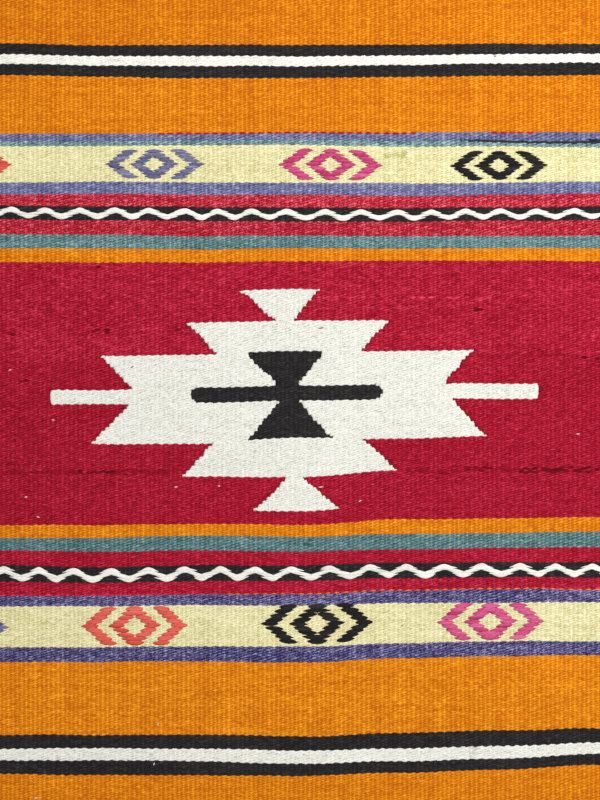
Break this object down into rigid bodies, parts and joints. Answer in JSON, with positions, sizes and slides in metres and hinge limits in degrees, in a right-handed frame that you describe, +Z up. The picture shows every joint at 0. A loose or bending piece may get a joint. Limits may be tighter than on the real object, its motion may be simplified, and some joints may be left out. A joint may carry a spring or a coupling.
{
  "type": "kilim runner",
  "caption": "Cut length of a flat-woven wool kilim runner with stripes, brocaded bands and a stepped medallion, lying flat.",
  "frame": {"origin": "middle of the underside", "axes": "+X across the cloth along its weft stripes, +Y along its warp towards the top of the picture, +Z up out of the patterned face"},
  "size_m": [0.3904, 0.5114, 0.0033],
  "materials": {
    "wool": "matt hand-spun wool"
  },
  "bodies": {
    "root": {"kilim_cloth": "wool"}
  },
  "joints": []
}
